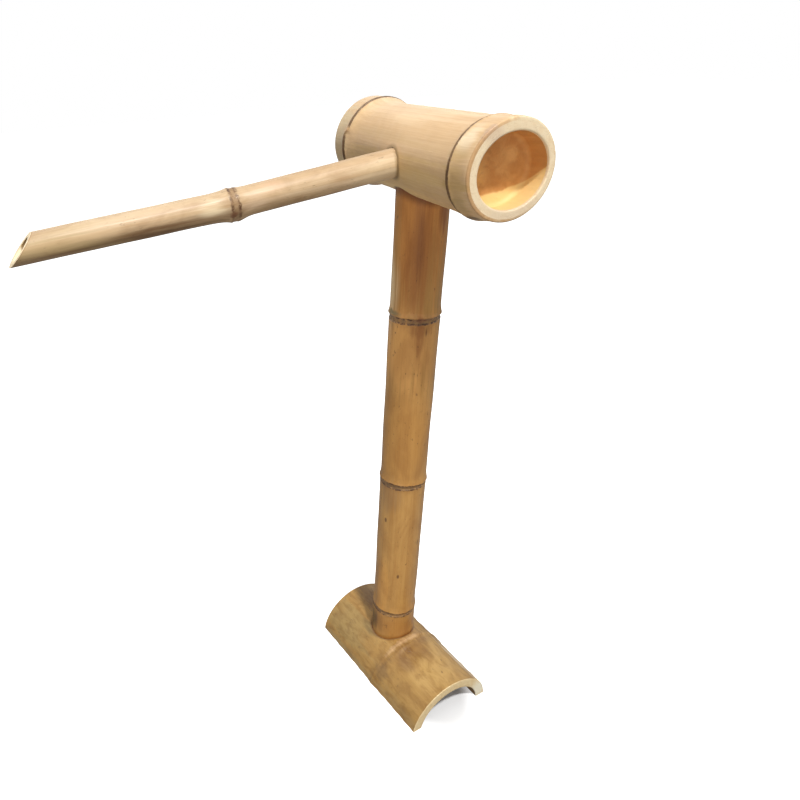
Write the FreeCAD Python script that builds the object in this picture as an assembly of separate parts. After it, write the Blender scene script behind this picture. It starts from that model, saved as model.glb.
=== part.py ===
import FreeCAD, Part
import math
import os
from collections import namedtuple

# Bamboo water spout. A half culm lies on its two split edges as the foot, a culm stands in its crest as
# the post, a short fat culm lies level on top as the head, and a slender culm leaves its side as the spout.
# A soft tube is threaded through all of them and carries the water.
# Millimetres. The origin is on the floor under the post's axis, +Z is up, the head lies along Y with its
# near cup at -Y, and the spout points along -X and drops a little.

Vector = FreeCAD.Vector
UP = Vector(0, 0, 1)

# Overall
total_height = 500.0

# Head, with places along it counted from the post's axis, positive towards the far cup
head_near_end = -92.5
head_near_node = -73.5
head_far_node = 67.0
head_far_end = 85.0
head_near_rim_radius = 27.2
head_near_radius = 27.8
head_middle_radius = 27.3
head_far_radius = 30.1
head_cup_radius = 21.1
head_far_cup_radius = 22.6
head_chamber_radius = 20.6
head_ridge_inward = 0.5
head_ridge_outward = 0.7
head_far_flare_reach = 20.0

# Post
post_bottom = 24.0
post_top = 461.5
post_nodes = (68.2, 213.3, 359.6)
post_radii = (19.8, 19.2, 18.8, 18.5)
post_bore_radius = 14.2
post_ridge_below = 0.5
post_ridge_above = 0.9

# Spout, with reaches counted from the upright plane through the head's axis
spout_toward_near_cup = 4.1
spout_root_drop = 7.4
spout_tip_drop = 5.2
spout_root_start = 20.2
spout_node_reach = 135.5
spout_lower_lip_reach = 275.1
spout_upper_edge_reach = 256.5
spout_root_radius = 9.2
spout_tip_radius = 8.9
spout_bore_radius = 6.0
spout_ridge_inward = 0.8
spout_ridge_outward = 1.6
spout_bud_base_radius = 5.0
spout_bud_tip_radius = 2.5
spout_bud_proud = 1.6
spout_bud_before_node = 4.5

# Foot, with reaches counted from the post's axis
foot_radius = 42.4
foot_height = 37.6
foot_wall = 9.7
foot_near_reach = 85.1
foot_far_reach = 57.3
foot_node_reach = 26.0
foot_turn = 12.0
foot_ridge_behind = 1.1
foot_ridge_ahead = 0.7
foot_bud_radius = 11.0
foot_bud_proud = 2.2
foot_bud_behind_node = 3.0

# Water tube
tube_radius = 3.0
tube_bore_radius = 2.0
tube_bottom = 12.0
tube_mouth_reach = 240.0
tube_bend_radius = 18.0

# Bamboo in general
edge_round = 0.8
flare_reach = 6.0
flare_waist = (0.65, 0.3)
scar_half_width = 0.8
scar_depth = 0.9
node_wall = 2.8
corner_chamfer = 3.0
push_fit = 0.02
overrun = 1.0

# Worked out from the sizes above
head_axis_height = total_height - head_far_radius - head_ridge_outward
spout_start = Vector(0, -spout_toward_near_cup, head_axis_height)
foot_axis_height = foot_height - foot_radius
foot_inner_radius = foot_radius - foot_wall
half_node_wall = node_wall / 2

# A stretch of culm between two nodes, and a node with the lips and flares on both sides of its scar.
Stretch = namedtuple("Stretch", "start end start_radius end_radius")
Node = namedtuple("Node", "place ridge_below ridge_above reach_below reach_above")


def dropping(angle):
    """Unit vector along -X that drops by the angle in degrees."""
    return Vector(-math.cos(math.radians(angle)), 0, -math.sin(math.radians(angle)))


spout_node = spout_start + dropping(spout_root_drop) * spout_node_reach


def revolved(corners):
    """Solid of revolution about Z from the (radius, place) corners of its half profile."""
    points = [Vector(radius, 0, place) for radius, place in corners]
    profile = Part.Face(Part.makePolygon(points + points[:1]))
    return profile.revolve(Vector(0, 0, 0), UP, 360)


def flare(wall, lip):
    """Corners of a flare from the plain wall to a lip. A long one leaves the wall gently, then steepens."""
    if abs(lip[1] - wall[1]) <= flare_reach:
        return [wall, lip]
    along, rise = flare_waist
    waist = (wall[0] + rise * (lip[0] - wall[0]), wall[1] + along * (lip[1] - wall[1]))
    return [wall, waist, lip]


def culm_body(stretches, nodes, bevel=edge_round):
    """Solid culm along +Z. At each node two flares rise to lips with the sheath's scar groove between them."""
    first, last = stretches[0], stretches[-1]
    corners = [(0, first.start), (first.start_radius - bevel, first.start)]
    if bevel:
        corners.append((first.start_radius, first.start + bevel))
    for node, below, above in zip(nodes, stretches, stretches[1:]):
        radius = max(below.end_radius, above.start_radius)
        wall_below = (below.end_radius, node.place - node.reach_below)
        wall_above = (above.start_radius, node.place + node.reach_above)
        lip_below = (radius + node.ridge_below, node.place - scar_half_width)
        lip_above = (radius + node.ridge_above, node.place + scar_half_width)
        scar = (lip_below[0] - scar_depth, node.place)
        corners += flare(wall_below, lip_below) + [scar] + flare(wall_above, lip_above)[::-1]
    if bevel:
        corners.append((last.end_radius, last.end - bevel))
    corners += [(last.end_radius - bevel, last.end), (0, last.end)]
    return revolved(corners)


def bore(start, end, radius):
    """Plain round hollow along +Z."""
    return Part.makeCylinder(radius, end - start, Vector(0, 0, start))


def cup(mouth, floor, radius):
    """Inside of an open cup along Z, which narrows in the corner of its floor."""
    inward = math.copysign(1, floor - mouth)
    return revolved([
        (0, mouth - inward * overrun),
        (radius, mouth - inward * overrun),
        (radius, floor - inward * corner_chamfer),
        (radius - corner_chamfer, floor),
        (0, floor)])


def laid_along(shape, origin, direction):
    """Turn a shape made along +Z so that its axis runs from the origin along the direction."""
    placed = shape.copy()
    placed.Placement = FreeCAD.Placement(origin, FreeCAD.Rotation(UP, direction))
    return placed


def bent_wire(start, corner, end, radius):
    """Two straight runs that meet near the corner in a tangent arc of the radius."""
    back = (start - corner).normalize()
    ahead = (end - corner).normalize()
    half_turn = (math.pi - back.getAngle(ahead)) / 2
    cut = radius * math.tan(half_turn)
    arc_start = corner + back * cut
    arc_end = corner + ahead * cut
    inward = (back + ahead).normalize()
    middle = corner + inward * (radius / math.cos(half_turn) - radius)
    return Part.Wire([
        Part.LineSegment(start, arc_start).toShape(),
        Part.Arc(arc_start, middle, arc_end).toShape(),
        Part.LineSegment(arc_end, end).toShape()])


def tube_bar(radius, extra=0.0):
    """Round bar along the water tube's route, longer at both ends by the extra, and the route's length."""
    inlet = Vector(0, 0, tube_bottom)
    rise = (spout_start - inlet).normalize()
    mouth = spout_node + dropping(spout_tip_drop) * (tube_mouth_reach - spout_node_reach)
    run = (mouth - spout_start).normalize()
    start = inlet - rise * extra
    route = bent_wire(start, spout_start, mouth + run * extra, tube_bend_radius)
    ring = Part.Wire(Part.makeCircle(radius, start, rise))
    return route.makePipeShell([ring], True, False), route.Length


def foot_rib():
    """What is left of the knocked-out node wall: a low ridge round the inside of the foot's culm."""
    start = foot_node_reach - node_wall
    end = foot_node_reach + node_wall
    outer = foot_inner_radius + edge_round
    return revolved([
        (outer, start),
        (foot_inner_radius, start),
        (foot_inner_radius - node_wall, foot_node_reach),
        (foot_inner_radius, end),
        (outer, end)])


def make_foot():
    """Half culm as an arch, turned a little about the post, its crest drilled for the post."""
    stretches = [
        Stretch(-foot_far_reach, foot_node_reach, foot_radius, foot_radius),
        Stretch(foot_node_reach, foot_near_reach, foot_radius, foot_radius)]
    node = Node(foot_node_reach, foot_ridge_behind, foot_ridge_ahead, flare_reach, flare_reach)
    body = culm_body(stretches, [node])
    bud_depth = foot_radius + foot_bud_proud - foot_bud_radius
    bud = Part.makeSphere(foot_bud_radius, Vector(-bud_depth, 0, foot_node_reach - foot_bud_behind_node))
    body = body.fuse(bud)
    body = body.cut(bore(-foot_far_reach - overrun, foot_near_reach + overrun, foot_inner_radius))
    body = body.fuse(foot_rib())
    # The culm's axis runs towards the near end, with its crest, made at -X, turned up.
    near = Vector(math.sin(math.radians(foot_turn)), -math.cos(math.radians(foot_turn)), 0)
    turn = FreeCAD.Rotation(UP * -1, UP.cross(near), near, "XYZ")
    body.Placement = FreeCAD.Placement(Vector(0, 0, foot_axis_height), turn)
    waste_size = 2 * (foot_near_reach + foot_far_reach)
    below_floor = Part.makeBox(
        waste_size, waste_size, waste_size, Vector(-waste_size / 2, -waste_size / 2, -waste_size))
    body = body.cut(below_floor)
    return body.cut(bore(0, foot_height + foot_bud_proud, post_radii[0] + push_fit))


def make_post(water_way):
    """Upright culm with three nodes. Its inner node walls are drilled for the water tube."""
    starts = (post_bottom,) + post_nodes
    ends = post_nodes + (post_top,)
    stretches = [Stretch(start, end, radius, radius) for start, end, radius in zip(starts, ends, post_radii)]
    nodes = [Node(place, post_ridge_below, post_ridge_above, flare_reach, flare_reach) for place in post_nodes]
    body = culm_body(stretches, nodes)
    body = body.cut(bore(post_bottom - overrun, post_nodes[0] - half_node_wall, post_bore_radius))
    for below, above in zip(post_nodes, post_nodes[1:]):
        body = body.cut(bore(below + half_node_wall, above - half_node_wall, post_bore_radius))
    body = body.cut(bore(post_nodes[-1] + half_node_wall, post_top + overrun, post_bore_radius))
    return body.cut(water_way)


def make_head(spout_hole):
    """Short fat culm along Y: a cup at each end, a closed chamber between the node walls, two drilled holes."""
    stretches = [
        Stretch(head_near_end, head_near_node, head_near_rim_radius, head_near_radius),
        Stretch(head_near_node, head_far_node, head_middle_radius, head_middle_radius),
        Stretch(head_far_node, head_far_end, head_far_radius, head_far_radius)]
    nodes = [
        Node(head_near_node, head_ridge_outward, head_ridge_inward, flare_reach, flare_reach),
        Node(head_far_node, head_ridge_inward, head_ridge_outward, head_far_flare_reach, flare_reach)]
    body = culm_body(stretches, nodes)
    body = body.cut(cup(head_near_end, head_near_node - half_node_wall, head_cup_radius))
    body = body.cut(bore(head_near_node + half_node_wall, head_far_node - half_node_wall, head_chamber_radius))
    body = body.cut(cup(head_far_end, head_far_node + half_node_wall, head_far_cup_radius))
    body = laid_along(body, Vector(0, 0, head_axis_height), Vector(0, 1, 0))
    body = body.cut(bore(head_axis_height - head_middle_radius, head_axis_height, post_radii[-1] + push_fit))
    return body.cut(spout_hole)


def make_spout(water_way):
    """Slender culm that bends a little at its node, cut slantwise at the tip with the lower lip longest."""
    # The outer flare of the node ends just under the tip's skin, so that the two halves run into each other.
    flare_end = spout_node_reach + flare_reach
    sunk_radius = spout_tip_radius - edge_round
    root_stretches = [
        Stretch(spout_root_start, spout_node_reach, spout_root_radius, spout_root_radius),
        Stretch(spout_node_reach, flare_end, sunk_radius, sunk_radius)]
    node = Node(spout_node_reach, spout_ridge_inward, spout_ridge_outward, flare_reach, flare_reach - edge_round)
    root_direction = dropping(spout_root_drop)
    tip_direction = dropping(spout_tip_drop)
    tip_length = spout_lower_lip_reach - spout_node_reach
    root = laid_along(culm_body(root_stretches, [node], bevel=0), spout_start, root_direction)
    tip = laid_along(bore(0, tip_length + overrun, spout_tip_radius), spout_node, tip_direction)
    bud_root = spout_node - root_direction * spout_bud_before_node - UP * spout_bore_radius
    bud_height = spout_root_radius + spout_bud_proud - spout_bore_radius
    bud = Part.makeCone(spout_bud_base_radius, spout_bud_tip_radius, bud_height, bud_root, UP * -1)
    body = root.fuse(tip).fuse(bud)
    root_bore = bore(spout_root_start - overrun, spout_node_reach - half_node_wall, spout_bore_radius)
    tip_bore = bore(half_node_wall, tip_length + 2 * overrun, spout_bore_radius)
    body = body.cut(laid_along(root_bore, spout_start, root_direction))
    body = body.cut(laid_along(tip_bore, spout_node, tip_direction))
    # The slant cut runs from the lower lip up and back to the upper edge.
    upward = Vector(0, 1, 0).cross(tip_direction)
    lower_lip = spout_node + tip_direction * tip_length - upward * spout_tip_radius
    upper_reach = spout_upper_edge_reach - spout_node_reach
    upper_edge = spout_node + tip_direction * upper_reach + upward * spout_tip_radius
    slope = (upper_edge - lower_lip).normalize()
    waste_size = 3 * (spout_lower_lip_reach - spout_upper_edge_reach)
    waste = Part.makeBox(waste_size, waste_size, waste_size, Vector(-waste_size / 2, -waste_size / 2, 0))
    waste = laid_along(waste, lower_lip, slope.cross(Vector(0, 1, 0)))
    return body.cut(waste).cut(water_way)


def make_spout_hole():
    """Hole through the head's wall, from inside its chamber out along the spout."""
    length = head_far_radius + overrun
    return laid_along(bore(0, length, spout_root_radius + push_fit), spout_start, dropping(spout_root_drop))


def make_water_tube():
    """Soft tube from the foot's arch up the post, round the bend in the head and down the spout."""
    outside, length = tube_bar(tube_radius)
    inside = tube_bar(tube_bore_radius, overrun)[0]
    tube = outside.cut(inside)
    section = math.pi * (tube_radius ** 2 - tube_bore_radius ** 2)
    print("water tube length", round(length, 1), "volume over section", round(tube.Volume / section, 1))
    return tube


water_way = tube_bar(tube_radius + push_fit, 10 * overrun)[0]
pieces = {
    "foot": make_foot(),
    "post": make_post(water_way),
    "head": make_head(make_spout_hole()),
    "spout": make_spout(water_way),
    "water_tube": make_water_tube(),
}

os.makedirs("parts", exist_ok=True)
for name, shape in pieces.items():
    solids = shape.Solids
    if len(solids) != 1 or not solids[0].isValid():
        raise RuntimeError(f"{name} is not one valid solid: {len(solids)}")
    solids[0].exportStep(f"parts/{name}.step")
    box = solids[0].optimalBoundingBox(False, False)
    print(name, "x", round(box.XMin, 2), round(box.XMax, 2), "y", round(box.YMin, 2), round(box.YMax, 2),
          "z", round(box.ZMin, 2), round(box.ZMax, 2), "volume", round(solids[0].Volume))
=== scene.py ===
import math
from collections import namedtuple

import bpy
import numpy as np
from mathutils import Matrix, Vector


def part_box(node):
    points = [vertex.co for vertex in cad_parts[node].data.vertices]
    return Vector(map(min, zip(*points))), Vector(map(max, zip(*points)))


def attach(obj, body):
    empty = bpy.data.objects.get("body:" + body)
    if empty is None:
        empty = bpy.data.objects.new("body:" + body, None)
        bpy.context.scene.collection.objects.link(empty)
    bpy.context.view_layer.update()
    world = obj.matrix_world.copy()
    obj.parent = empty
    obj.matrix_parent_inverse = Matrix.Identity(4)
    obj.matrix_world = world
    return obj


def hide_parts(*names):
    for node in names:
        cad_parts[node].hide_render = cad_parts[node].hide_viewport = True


bl_info = {
    "name": "Bamboo water spout",
    "version": (1, 0, 0),
    "blender": (4, 5, 0),
    "location": "3D View > Sidebar > Bamboo",
    "description": "Dresses a bamboo water spout: four lacquered culms and the tube threaded through them",
    "category": "Add Mesh",
}

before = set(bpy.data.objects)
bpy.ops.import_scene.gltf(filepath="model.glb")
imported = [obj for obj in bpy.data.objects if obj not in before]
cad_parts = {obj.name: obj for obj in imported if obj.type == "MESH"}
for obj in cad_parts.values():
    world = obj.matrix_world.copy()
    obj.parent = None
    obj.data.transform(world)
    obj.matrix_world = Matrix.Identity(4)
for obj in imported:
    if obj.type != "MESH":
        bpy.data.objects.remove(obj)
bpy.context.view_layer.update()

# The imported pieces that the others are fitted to, as the lowest and highest corner of each
POST_LOW, POST_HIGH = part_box("post")
HEAD_LOW, HEAD_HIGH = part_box("head")
HEAD_CENTRE = Vector((0, 0, (HEAD_LOW.z + HEAD_HIGH.z) / 2))
HEAD_WAY = Vector((0, 1, 0))

BODY = "root"
FRAME_PIXELS = 800
SENSOR_MM = 36.0
MM = 0.001
TURN = 2 * math.pi
DEGREE = math.pi / 180
UP = Vector((0, 0, 1))

# The room round a culm in its hole, half a node wall, how far a sawn edge is rounded, the least turn of a sharp edge,
# and the radius under which a ring is a single point
SEAT_GAP = 0.15 * MM
HALF_NODE_WALL = 1.4 * MM
EDGE_SOFT = 0.9 * MM
SHARP_EDGE = 50 * DEGREE
POINT_RADIUS = 1e-7

# How much of the tube's two straight runs the post and the spout are drilled for
POST_DRILLED, SPOUT_DRILLED = 0.8, 0.6

# Faces of a culm by what made them
SKIN, CUT, INSIDE = 0, 1, 2

# A node of a culm: where its scar lies, how far the wall rises to the lips on both sides of the scar's groove, over
# what reach, the groove's half width and depth, how far the scar leans and jumps, the angles of its lean and its jump,
# and how much wider the groove grows towards which side.
Node = namedtuple(
    "Node", "place below above reach_below reach_above groove depth lean jog phase jog_angle spread spread_angle")

# A local swelling, such as a bud: its place and angle, its height, and its half length and half width.
Swelling = namedtuple("Swelling", "place angle height half_length half_width")

# One ring of a culm's mesh: places and radii over its angles, the signed distance from the nearest node's scar,
# the distance from the nearer sawn end, and what made the faces before it.
Ring = namedtuple("Ring", "places radii angles scar_offset end_offset region")

# A soft patch of colour on the skin, for stains and pale patches and for painted shade and highlights: its place and
# angle, its half width and half length, its colour, strength.
Patch = namedtuple("Patch", "place angle half_width half_length colour strength")

# The painted shade where another culm meets the skin: a point and the direction of that culm's axis, its radius,
# how far the shade reaches, its colour and strength, and the side of this culm that it lies on, if only one, in its
# coordinates.
ContactShade = namedtuple("ContactShade", "point direction radius reach colour strength toward", defaults=(None,))


def node_at(place, sizes, *rest):
    """Node at a place, with its sizes from below to jog in millimetres."""
    return Node(place, *(size * MM for size in sizes), *rest)


def swelling_at(place, angle, *sizes):
    """Swelling with its height, half length and half width in millimetres."""
    return Swelling(place, angle, *(size * MM for size in sizes))


def patches_from(start, *rows):
    """Patches from rows in millimetres and degrees, with their places counted from the start."""
    return [
        Patch(start + place * MM, angle * DEGREE, width * MM, along * MM, colour, strength)
        for place, angle, width, along, colour, strength in rows]


def ease(low, high, value):
    """Smooth step from 0 at low to 1 at high."""
    share = np.clip((value - low) / (high - low), 0, 1)
    return share * share * (3 - 2 * share)


def quarter_round(*shares):
    """Along a rounded edge, how far it lies back from its face and in from its side, as shares of its radius."""
    turns = [share * math.pi / 2 for share in shares]
    return [(1 - math.sin(turn), 1 - math.cos(turn)) for turn in turns]


class Culm:
    """The form of one culm: radii along it, nodes and swellings, and the line that its axis follows."""

    def __init__(self, line, stations, nodes, swellings=(), oval=0.0, oval_phase=0.0, ripple=0.0, around=160):
        self.line = line
        self.stations = np.array(stations, float)
        self.start, self.end = self.stations[0, 0], self.stations[-1, 0]
        self.nodes = nodes
        self.swellings = swellings
        self.oval = oval
        self.oval_phase = oval_phase
        self.ripple = ripple
        self.angles = np.arange(around) * TURN / around

    def scar_line(self, node, angles):
        """How far a node's scar lies from its plane at each angle."""
        stray = node.lean * np.cos(angles - node.phase) + 0.3 * node.lean * np.cos(2 * angles + node.phase)
        round_trip = np.mod(angles - node.jog_angle, TURN) / TURN
        return stray + node.jog * (ease(0.0, 0.012, round_trip) * (1 - round_trip) - 0.5)

    def stray(self, place, angles):
        """How far the skin's rows shift along the culm, so that they follow the scars of the nodes."""
        shift = np.zeros_like(angles)
        for node in self.nodes:
            away = place - node.place
            reach = node.reach_below + node.reach_above + 2 * node.groove
            near = 1 - ease(0.35, 1.0, abs(away) / reach)
            widening = away * node.spread * np.cos(angles - node.spread_angle)
            widening = widening * (1 - ease(1, 3, abs(away) / node.groove))
            shift += near * self.scar_line(node, angles) + widening
        return shift

    def wall(self, place):
        """Radius of the wall without the nodes."""
        return np.interp(place, self.stations[:, 0], self.stations[:, 1])

    def rise(self, place):
        """How far the nodes lift the skin at a place."""
        lift = 0.0
        for node in self.nodes:
            away = place - node.place
            if away < -node.groove:
                lift += node.below * math.exp(-((-away - node.groove) / node.reach_below) ** 1.2)
            elif away > node.groove:
                lift += node.above * math.exp(-((away - node.groove) / node.reach_above) ** 1.2)
            else:
                across = away / node.groove
                lift += node.below + (node.above - node.below) * (across + 1) / 2 - node.depth * (1 - across ** 4)
        return lift

    def scar_offset(self, place):
        """Signed distance along the culm from the nearest node's scar."""
        return min((place - node.place for node in self.nodes), key=abs)

    def skin_ring(self, place, angles=None):
        """Ring of the skin, with its nodes, swellings and ripples."""
        angles = self.angles if angles is None else angles
        radii = self.wall(place) + self.rise(place)
        waves = np.cos(3 * angles + 31 * place / self.end) + np.cos(5 * angles - 47 * place / self.end + 1)
        radii = radii * (1 + self.oval * np.cos(2 * (angles - self.oval_phase))) - self.ripple * (2 - waves) / 4
        for bump in self.swellings:
            aside = np.angle(np.exp(1j * (angles - bump.angle))) * self.wall(place)
            falloff = ((place - bump.place) / bump.half_length) ** 2 + (aside / bump.half_width) ** 2
            radii = radii + bump.height * np.exp(-falloff)
        shifted = place + self.stray(place, angles)
        return Ring(shifted, radii, angles, self.scar_offset(place), self.from_end(place), SKIN)

    def plain_ring(self, place, radius, region, angles=None, shift=(0, 0, 0)):
        """Ring of even radius, moved off the axis by the shift above and aside and widened aside by its last number."""
        angles = self.angles if angles is None else angles
        radii = np.full_like(angles, radius) * (1 + self.oval * np.cos(2 * (angles - self.oval_phase)))
        radii = radii + shift[0] * np.cos(angles) + shift[1] * np.sin(angles) - shift[2] * np.cos(2 * angles)
        return Ring(np.full_like(angles, place), radii, angles, self.scar_offset(place), self.from_end(place), region)

    def from_end(self, place):
        """Distance from the nearer sawn end."""
        return min(abs(place - self.start), abs(self.end - place))

    def skin_places(self, start, end, coarse=3.0 * MM):
        """Places of the skin's rings, close together near the nodes."""
        fine, medium = 0.25 * MM, 0.7 * MM
        places = [start]
        while places[-1] < end:
            away = min(abs(places[-1] - node.place) / node.groove for node in self.nodes)
            step = fine if away < 2 else medium if away < 9 else coarse
            places.append(places[-1] + step)
        places[-1] = end
        return places

    def skin_rings(self, start, end):
        """Rings of the skin from one place to the other."""
        return [self.skin_ring(place) for place in self.skin_places(start, end)]

    def face_rings(self, place, outer, inner, outward, soft, shift):
        """Rings of a sawn end from the skin's edge to the bore's edge, with both edges softened."""
        rings = []
        for back, aside in quarter_round(0.25, 0.5, 0.75, 1.0):
            rings.append((place - outward * soft * back, outer - soft * aside, SKIN))
        for share in (0.2, 0.4, 0.6, 0.8):
            rings.append((place, outer - soft + (inner + soft + EDGE_SOFT - outer) * share, CUT))
        for aside, back in quarter_round(0.0, 0.33, 0.66, 1.0):
            rings.append((place - outward * EDGE_SOFT * back, inner + EDGE_SOFT * aside, CUT))
        return [self.moved_ring(*ring, shift, outer, inner) for ring in rings]

    def moved_ring(self, place, radius, region, shift, unmoved, moved):
        """Plain ring moved by a share of the shift: none at the unmoved radius, all of it at the moved one."""
        share = (unmoved - radius) / (unmoved - moved)
        return self.plain_ring(place, radius, region, shift=[part * share for part in shift])

    def cup_rings(self, mouth, floor, radius, outward, shift=(0, 0, 0)):
        """Rings of a bore from its mouth to the node wall that closes it, ending in the middle of that wall."""
        rings = []
        fillet, sunk = 3.0 * MM, 1.0 * MM
        straight = floor + outward * fillet
        for place in np.linspace(mouth, straight, 14)[1:]:
            rings.append((place, radius, INSIDE))
        for back, aside in quarter_round(0.2, 0.4, 0.6, 0.8, 1.0):
            rings.append((floor + outward * fillet * back, radius - fillet * aside, INSIDE))
        for share in (0.85, 0.7, 0.55, 0.4, 0.25, 0.1, 0.0):
            rings.append((floor - outward * sunk * (1 - share * share), (radius - fillet) * share, INSIDE))
        return [self.moved_ring(*ring, shift, 0.0, radius) for ring in rings]

    def open_end(self, place, floor, outer, inner, outward, soft=EDGE_SOFT, shift=(0, 0, 0)):
        """Rings of a sawn end and of the bore behind it, in the order of the culm's places."""
        rings = self.face_rings(place, outer, inner, outward, soft, shift)
        rings += self.cup_rings(place - outward * EDGE_SOFT, floor, inner, outward, shift)
        return rings if outward > 0 else rings[::-1]


def straight_line(origin, along, across):
    """Line of a straight culm: the points at some places, and the two directions across it."""
    second = along.cross(across)

    def at(places):
        points = np.array(origin)[None] + places[:, None] * np.array(along)[None]
        return points, np.array(across)[None], np.array(second)[None]

    return at


def linked(name, data):
    """New object in the scene."""
    made = bpy.data.objects.new(name, data)
    bpy.context.scene.collection.objects.link(made)
    return made


def mesh_of(name, culm, rings, materials, split=False):
    """Smooth mesh object through the rings, with the culm's own coordinates kept on its points.

    The rings of a whole culm close on themselves. Those of a split one are open arcs, the last ring joins the first,
    and a flat face closes each split edge.
    """
    points, coordinates, scars, ends, firsts = [], [], [], [], []
    count = 0
    for ring in rings:
        pole = float(np.max(ring.radii)) < POINT_RADIUS
        places, radii, angles = (part[:1] if pole else part for part in (ring.places, ring.radii, ring.angles))
        centre, across, second = culm.line(places)
        above, aside = radii * np.cos(angles), radii * np.sin(angles)
        points.append(centre + above[:, None] * across + aside[:, None] * second)
        coordinates.append(np.stack([above, aside, places], axis=1))
        scars.append(np.full(len(places), ring.scar_offset))
        ends.append(np.full(len(places), ring.end_offset))
        firsts.append((count, len(places), ring.region))
        count += len(places)
    faces, regions = [], []
    for (a, a_size, _), (b, b_size, region) in zip(firsts, firsts[1:] + firsts[:1] * split):
        around = max(a_size, b_size)
        for step in range(around - split):
            after = (step + 1) % around
            if a_size == 1:
                faces.append((a, b + after, b + step))
            elif b_size == 1:
                faces.append((a + step, a + after, b))
            else:
                faces.append((a + step, a + after, b + after, b + step))
            regions.append(region)
    if split:
        faces.append(tuple(first for first, _, _ in firsts))
        faces.append(tuple(first + size - 1 for first, size, _ in reversed(firsts)))
        regions += [CUT, CUT]
    mesh = bpy.data.meshes.new(name)
    mesh.from_pydata(np.concatenate(points).tolist(), [], faces)
    for material in materials:
        mesh.materials.append(material)
    mesh.polygons.foreach_set("material_index", regions)
    coordinates = np.concatenate(coordinates).astype(np.float32)
    mesh.attributes.new("culm", "FLOAT_VECTOR", "POINT").data.foreach_set("vector", coordinates.ravel())
    scars, ends = np.concatenate(scars), np.concatenate(ends)
    for key, values in (("scar_offset", scars), ("scar_distance", abs(scars)), ("end_offset", ends)):
        values = values.astype(np.float32)
        mesh.attributes.new(key, "FLOAT", "POINT").data.foreach_set("value", values)
    mesh.validate()
    mesh.update()
    mesh.shade_smooth()
    mesh.set_sharp_from_angle(angle=SHARP_EDGE)
    return linked(name, mesh)


def drilled(piece, material, *holes):
    """Drill the piece. Each hole is the radius of what it takes, its start point and its end point."""
    cutters = [drill_bit(radius + SEAT_GAP, start, end, material) for radius, start, end in holes]
    for cutter in cutters:
        cut = piece.modifiers.new("drill", "BOOLEAN")
        cut.operation = "DIFFERENCE"
        cut.solver = "EXACT"
        cut.object = cutter
    bpy.context.view_layer.update()
    whole = piece.evaluated_get(bpy.context.evaluated_depsgraph_get())
    mesh = bpy.data.meshes.new_from_object(whole)
    mesh.name = piece.name
    piece.modifiers.clear()
    piece.data = mesh
    mesh.set_sharp_from_angle(angle=SHARP_EDGE)
    for cutter in cutters:
        bpy.data.objects.remove(cutter)


def drill_bit(radius, start, end, material, around=96):
    """Cylinder that drills a hole from the start point to the end point."""
    direction = (end - start).normalized()
    across = direction.orthogonal().normalized()
    second = direction.cross(across)
    points = []
    for centre in (start, end):
        for step in range(around):
            angle = step * TURN / around
            points.append(centre + (across * math.cos(angle) + second * math.sin(angle)) * radius)
    faces = [tuple(reversed(range(around))), tuple(range(around, 2 * around))]
    for step in range(around):
        after = (step + 1) % around
        faces.append((step, after, around + after, around + step))
    mesh = bpy.data.meshes.new("drill_bit")
    mesh.from_pydata(points, [], faces)
    mesh.materials.append(material)
    return linked("drill_bit", mesh)


def take_place_of(piece, node):
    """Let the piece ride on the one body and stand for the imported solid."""
    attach(piece, BODY)
    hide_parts(node)


class Sketch:
    """Short names for the nodes of one shader tree."""

    def __init__(self, tree):
        self.tree = tree

    def node(self, kind, **settings):
        made = self.tree.nodes.new(kind)
        for name, value in settings.items():
            setattr(made, name, value)
        return made

    def put(self, socket, value):
        if isinstance(value, bpy.types.NodeSocket):
            self.tree.links.new(value, socket)
        else:
            socket.default_value = value

    def math(self, operation, first, second=0.0):
        made = self.node("ShaderNodeMath", operation=operation)
        self.put(made.inputs[0], first)
        self.put(made.inputs[1], second)
        return made.outputs[0]

    def times(self, first, *others):
        for other in others:
            first = self.math("MULTIPLY", first, other)
        return first

    def plus(self, first, second):
        return self.math("ADD", first, second)

    def minus(self, first, second):
        return self.math("SUBTRACT", first, second)

    def vector(self, operation, first, second=None, output="Vector"):
        made = self.node("ShaderNodeVectorMath", operation=operation)
        self.put(made.inputs[0], first)
        if second is not None:
            self.put(made.inputs[1], second)
        return made.outputs[output]

    def remap(self, value, low, high, to_low=0.0, to_high=1.0):
        made = self.node("ShaderNodeMapRange", interpolation_type="SMOOTHSTEP")
        for socket, given in zip(made.inputs, (value, low, high, to_low, to_high)):
            self.put(socket, given)
        return made.outputs[0]

    def stretched(self, vector, x, y, z):
        return self.vector("MULTIPLY", vector, (x, y, z))

    def noise(self, vector, scale, detail=2.0, roughness=0.5, distortion=0.0):
        made = self.node("ShaderNodeTexNoise")
        for name, value in (("Vector", vector), ("Scale", scale), ("Detail", detail), ("Roughness", roughness),
                            ("Distortion", distortion)):
            self.put(made.inputs[name], value)
        return made.outputs["Fac"]

    def cells(self, vector, scale):
        made = self.node("ShaderNodeTexVoronoi")
        self.put(made.inputs["Vector"], vector)
        self.put(made.inputs["Scale"], scale)
        return made.outputs["Distance"]

    def blend(self, factor, first, second, mode="MIX"):
        made = self.node("ShaderNodeMix", data_type="RGBA", blend_type=mode)
        self.put(made.inputs["Factor"], factor)
        for name, value in (("A", first), ("B", second)):
            self.put(made.inputs[name], value if isinstance(value, bpy.types.NodeSocket) else (*value, 1.0))
        return made.outputs["Result"]

    def attribute(self, name, output="Fac"):
        return self.node("ShaderNodeAttribute", attribute_name=name).outputs[output]

    def group(self, tree, **inputs):
        made = self.node("ShaderNodeGroup", node_tree=tree)
        for name, value in inputs.items():
            self.put(made.inputs[name.replace("_", " ").capitalize()], value)
        return made.outputs


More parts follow.
